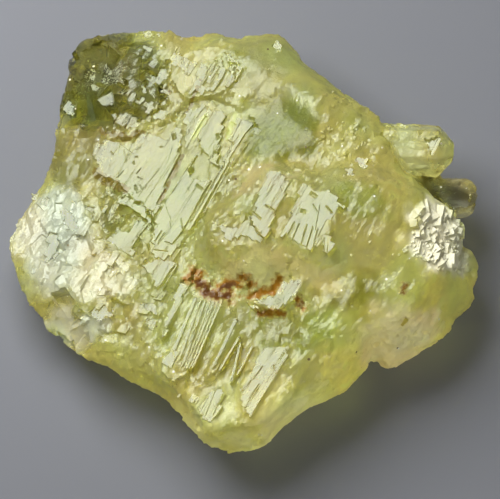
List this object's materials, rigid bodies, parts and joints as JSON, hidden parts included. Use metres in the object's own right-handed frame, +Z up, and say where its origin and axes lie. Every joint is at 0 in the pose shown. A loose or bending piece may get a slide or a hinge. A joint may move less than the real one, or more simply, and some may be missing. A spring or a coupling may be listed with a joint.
{
  "type": "heliodor crystal",
  "caption": "Rough, etched heliodor (golden beryl) crystal with flat stepped plates and small crystals at one end, lying on a broken face.",
  "frame": {"origin": "on the broken face that the stone lies on, under the middle of its bounding box", "axes": "+Z up; +X towards the end with the small crystals, along the longest extent; +Y towards the far edge as the picture shows it"},
  "size_m": [0.03, 0.0278, 0.0103],
  "materials": {
    "golden_beryl": "clear to milky yellow-green beryl, satin etched faces with mirror-bright plates, rust stains in a few pits"
  },
  "bodies": {
    "root": {"heliodor_crystal": "golden_beryl"}
  },
  "joints": []
}
